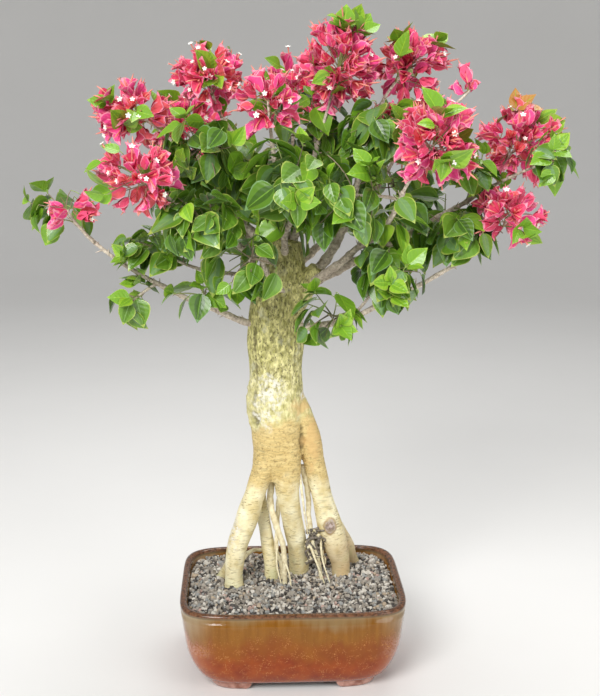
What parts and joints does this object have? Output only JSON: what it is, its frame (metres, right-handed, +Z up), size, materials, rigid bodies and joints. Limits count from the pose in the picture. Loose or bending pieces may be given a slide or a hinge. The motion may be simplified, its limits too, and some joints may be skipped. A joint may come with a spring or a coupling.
{
  "type": "bougainvillea bonsai",
  "caption": "Flowering bougainvillea bonsai with a root-legged trunk, long low boughs and clusters of pink bracts, in a glazed rectangular pot of gravel.",
  "frame": {"origin": "on the floor under the middle of the whole plant's box; the pot's middle is at x -0.0028, y -0.0098", "axes": "+Z up, -Y towards the front that the picture shows, +X to the right of that front"},
  "size_m": [0.5783, 0.3408, 0.7271],
  "materials": {
    "glazed_ceramic": "glossy glaze, brown at the rim, olive and amber in the middle, speckled rust red below",
    "gravel": "loose grey lava grains of 3 to 6 mm",
    "bark": "finely fissured olive bark, smooth pale tan lower down",
    "root_bark": "smooth pale root bark",
    "twig_bark": "grey-brown bark with small knobs",
    "leaf": "satin green leaf, paler at the margin and midrib",
    "bract": "papery magenta to coral bract"
  },
  "bodies": {
    "root": {"aerial_root_left": "root_bark", "aerial_root_middle": "root_bark", "aerial_root_right": "root_bark", "blossom_back_left": "bract", "blossom_back_middle": "bract", "blossom_back_right": "bract", "blossom_left_high": "bract", "blossom_left_low": "bract", "blossom_left_tip": "bract", "blossom_low_right": "bract", "blossom_right": "bract", "blossom_right_front": "bract", "blossom_right_spur": "bract", "blossom_top": "bract", "blossom_upper_left": "bract", "blossom_upper_middle": "bract", "blossom_upper_right": "bract", "bough_back_left": "twig_bark", "bough_back_middle": "twig_bark", "bough_back_right": "twig_bark", "bough_front": "twig_bark", "bough_front_middle": "twig_bark", "bough_left_front": "twig_bark", "bough_left_rear": "twig_bark", "bough_left_thin": "twig_bark", "bough_low_left_inner": "twig_bark", "bough_low_left_middle": "twig_bark", "bough_low_left_outer": "twig_bark", "bough_low_right_inner": "twig_bark", "bough_low_right_outer": "twig_bark", "bough_right": "twig_bark", "bough_right_front": "twig_bark", "bough_right_spur": "twig_bark", "bough_top": "twig_bark", "bough_upper_left": "twig_bark", "bough_upper_middle": "twig_bark", "bough_upper_right": "twig_bark", "cross_root": "root_bark", "foliage_back_left": "leaf", "foliage_back_middle": "leaf", "foliage_back_right": "leaf", "foliage_front": "leaf", "foliage_front_middle": "leaf", "foliage_left": "leaf", "foliage_left_low": "leaf", "foliage_left_tip": "leaf", "foliage_low_left": "leaf", "foliage_low_left_drop": "leaf", "foliage_low_middle": "leaf", "foliage_low_right": "leaf", "foliage_right": "leaf", "foliage_right_front": "leaf", "foliage_right_tip": "leaf", "foliage_right_upper": "leaf", "foliage_top": "leaf", "foliage_upper_left": "leaf", "foliage_upper_right": "leaf", "gravel_soil": "gravel", "pot": "glazed_ceramic", "trunk": "bark"}
  },
  "joints": []
}
